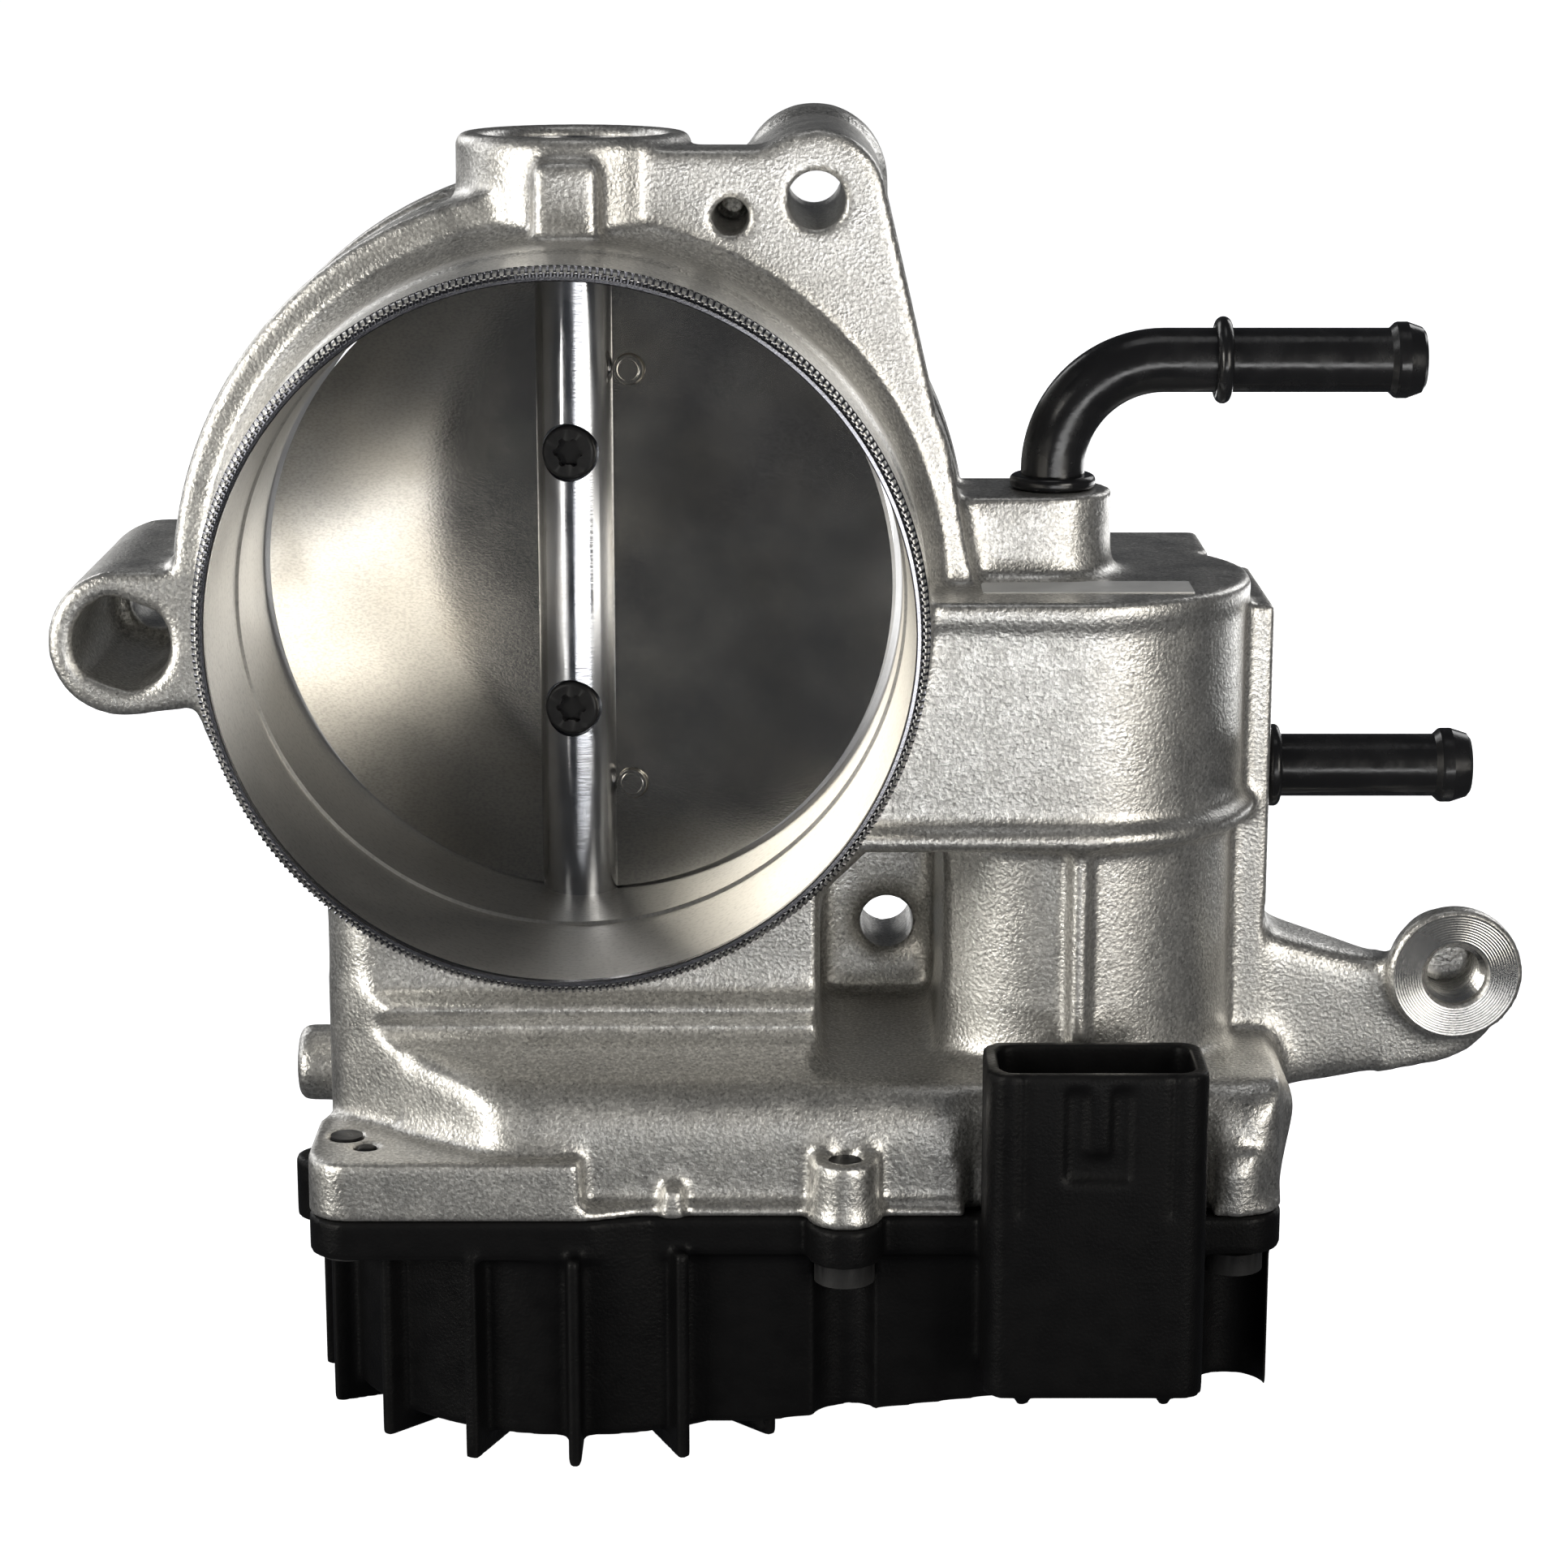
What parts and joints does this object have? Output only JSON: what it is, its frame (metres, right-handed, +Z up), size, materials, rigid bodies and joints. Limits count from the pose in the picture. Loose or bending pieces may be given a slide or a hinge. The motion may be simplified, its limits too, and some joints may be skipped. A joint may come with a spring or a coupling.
{
  "type": "throttle body",
  "caption": "Electronic throttle body with a round plate on an upright shaft, a motor pot beside the bore, two hose fittings and a moulded gear cover.",
  "frame": {"origin": "centre of the bore on the rear mounting face", "axes": "+Y along the bore towards the engine, +Z up along the throttle shaft, +X towards the motor"},
  "size_m": [0.1835, 0.0701, 0.1613],
  "materials": {
    "cast_aluminium": "fine blasted casting, machined faces brighter",
    "plate_aluminium": "satin",
    "shaft_steel": "ground",
    "black_screw": "black zinc",
    "bearing_steel": "polished",
    "plug_steel": "drawn sheet",
    "black_fitting": "gloss black coating",
    "cover_plastic": "glass-filled, satin",
    "gear_plastic": "natural",
    "sensor_plastic": "board green",
    "seal_rubber": "matte",
    "spring_steel": "oiled wire",
    "zinc_steel": "zinc plated",
    "magnet": "sintered",
    "core_steel": "stacked sheet",
    "copper": "enamelled wire",
    "pinion_brass": "cut",
    "tinned_terminal": "tinned",
    "label_film": "blank film"
  },
  "bodies": {
    "housing": {"throttle_housing": "cast_aluminium", "upper_bearing_shell": "bearing_steel", "upper_bearing_needles": "bearing_steel", "lower_bearing_outer_ring": "bearing_steel", "lower_bearing_balls": "bearing_steel", "shaft_seal": "seal_rubber", "bearing_plug": "plug_steel", "spring_guide": "gear_plastic", "return_spring": "spring_steel", "stop_screw": "shaft_steel", "intermediate_gear_pin": "shaft_steel", "motor_can": "zinc_steel", "motor_washer": "spring_steel", "motor_magnets": "magnet", "motor_brushes": "magnet", "motor_end_cap": "gear_plastic", "motor_plate": "zinc_steel", "motor_screws": "zinc_steel", "motor_terminals": "tinned_terminal", "gear_cover": "cover_plastic", "cover_seal": "seal_rubber", "cover_screws": "black_screw", "connector_terminals": "tinned_terminal", "sensor_board": "sensor_plastic", "sensor_chip": "sensor_plastic", "hose_elbow": "black_fitting", "hose_stub": "black_fitting", "blank_label": "label_film"},
    "throttle": {"throttle_plate": "plate_aluminium", "throttle_shaft": "shaft_steel", "plate_screws": "black_screw", "stop_lever": "shaft_steel", "sector_gear": "gear_plastic", "sensor_rotor": "sensor_plastic", "lower_bearing_inner_ring": "bearing_steel"},
    "intermediate": {"intermediate_gear": "gear_plastic"},
    "motor_rotor": {"motor_shaft": "shaft_steel", "motor_armature": "core_steel", "motor_windings": "copper", "motor_commutator": "copper", "drive_pinion": "pinion_brass"}
  },
  "joints": [
    {"name": "throttle_turn", "type": "hinge", "parent": "housing", "child": "throttle", "pos_m": [0, -0.0285, 0], "axis": [0, 0, -1], "range_deg": [-10, 74], "stiffness_Nm_per_rad": 0.09},
    {"name": "intermediate_turn", "type": "hinge", "parent": "housing", "child": "intermediate", "pos_m": [0.033, -0.0285, -0.085], "axis": [0, 0, -1], "range_deg": [-231.3, 31.3]},
    {"name": "motor_turn", "type": "hinge", "parent": "housing", "child": "motor_rotor", "pos_m": [0.06256, -0.027, -0.03], "axis": [0, 0, -1], "range_deg": [-97.3, 719.5]}
  ],
  "couplings": [
    {"joint": "intermediate_turn", "follows": "throttle_turn", "ratio": -3.125},
    {"joint": "motor_turn", "follows": "throttle_turn", "ratio": 9.7222}
  ]
}
